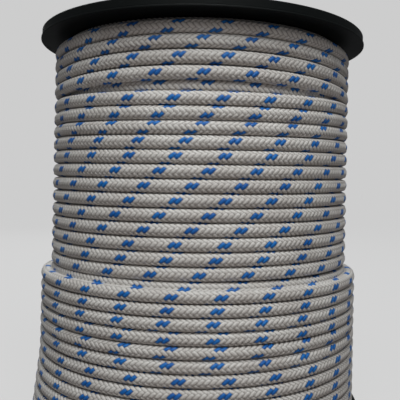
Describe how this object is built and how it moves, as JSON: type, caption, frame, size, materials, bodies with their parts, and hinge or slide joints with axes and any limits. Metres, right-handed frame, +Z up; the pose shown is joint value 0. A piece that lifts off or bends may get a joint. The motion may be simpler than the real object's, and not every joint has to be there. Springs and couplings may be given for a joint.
{
  "type": "rope spool",
  "caption": "Braided climbing rope wound in layers on an upright flanged spool with a core tube, tie rods and a spindle bore.",
  "frame": {"origin": "on the spool's axis, at the lower flange's lowest face, where the spool stands", "axes": "+Z up along the spool's axis, +Y to the back, where the rope's outer end is taped down"},
  "size_m": [0.276, 0.276, 0.3154],
  "materials": {
    "spool_plastic": "moulded satin black",
    "core_board": "spiral-wound paperboard",
    "bush_plastic": "natural grey, turned",
    "zinc_steel": "zinc-plated",
    "rope_braid": "silky off-white braid with blue tracer strands",
    "melted_end": "melted and set",
    "tape": "crepe paper tape"
  },
  "bodies": {
    "root": {"upper_flange": "spool_plastic", "lower_flange": "spool_plastic", "core_tube": "core_board", "upper_bush": "bush_plastic", "lower_bush": "bush_plastic", "tie_rod_1": "zinc_steel", "tie_rod_2": "zinc_steel", "tie_rod_3": "zinc_steel", "tie_rod_4": "zinc_steel", "upper_tie_nuts": "zinc_steel", "lower_tie_nuts": "zinc_steel", "upper_tie_washers": "zinc_steel", "lower_tie_washers": "zinc_steel", "rope_layer_1": "rope_braid", "rope_layer_2": "rope_braid", "rope_layer_3": "rope_braid", "rope_layer_4": "rope_braid", "rope_layer_5": "rope_braid", "rope_layer_6": "rope_braid", "rope_layer_7": "rope_braid", "rope_layer_8": "rope_braid", "rope_layer_9": "rope_braid", "rope_last_turn": "rope_braid", "outer_end_seal": "melted_end", "end_tape": "tape"}
  },
  "joints": []
}
